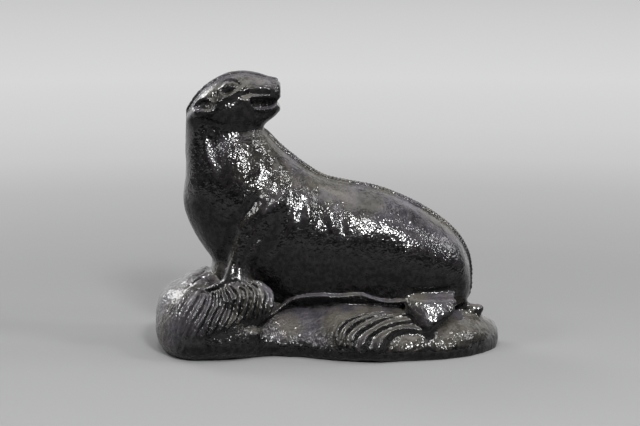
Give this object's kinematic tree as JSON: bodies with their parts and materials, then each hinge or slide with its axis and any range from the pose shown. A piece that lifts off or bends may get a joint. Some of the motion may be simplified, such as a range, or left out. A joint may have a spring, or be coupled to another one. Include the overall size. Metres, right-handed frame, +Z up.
{
  "type": "seal figurine",
  "caption": "Black-enamelled cast-iron figurine of a sea lion on a rock, its head turned to look back over its body, mouth a little open.",
  "frame": {"origin": "on the flat underside, below the middle of the rock's length", "axes": "+Z up from the surface the rock rests on; +X along the rock's length towards the rump; -Y is the near side in the picture"},
  "size_m": [0.1014, 0.0485, 0.0823],
  "materials": {
    "black_enamel": "gloss black enamel over rough cast iron, with a dusty brown-grey bloom on upward faces"
  },
  "bodies": {
    "root": {"seal_figurine": "black_enamel"}
  },
  "joints": []
}
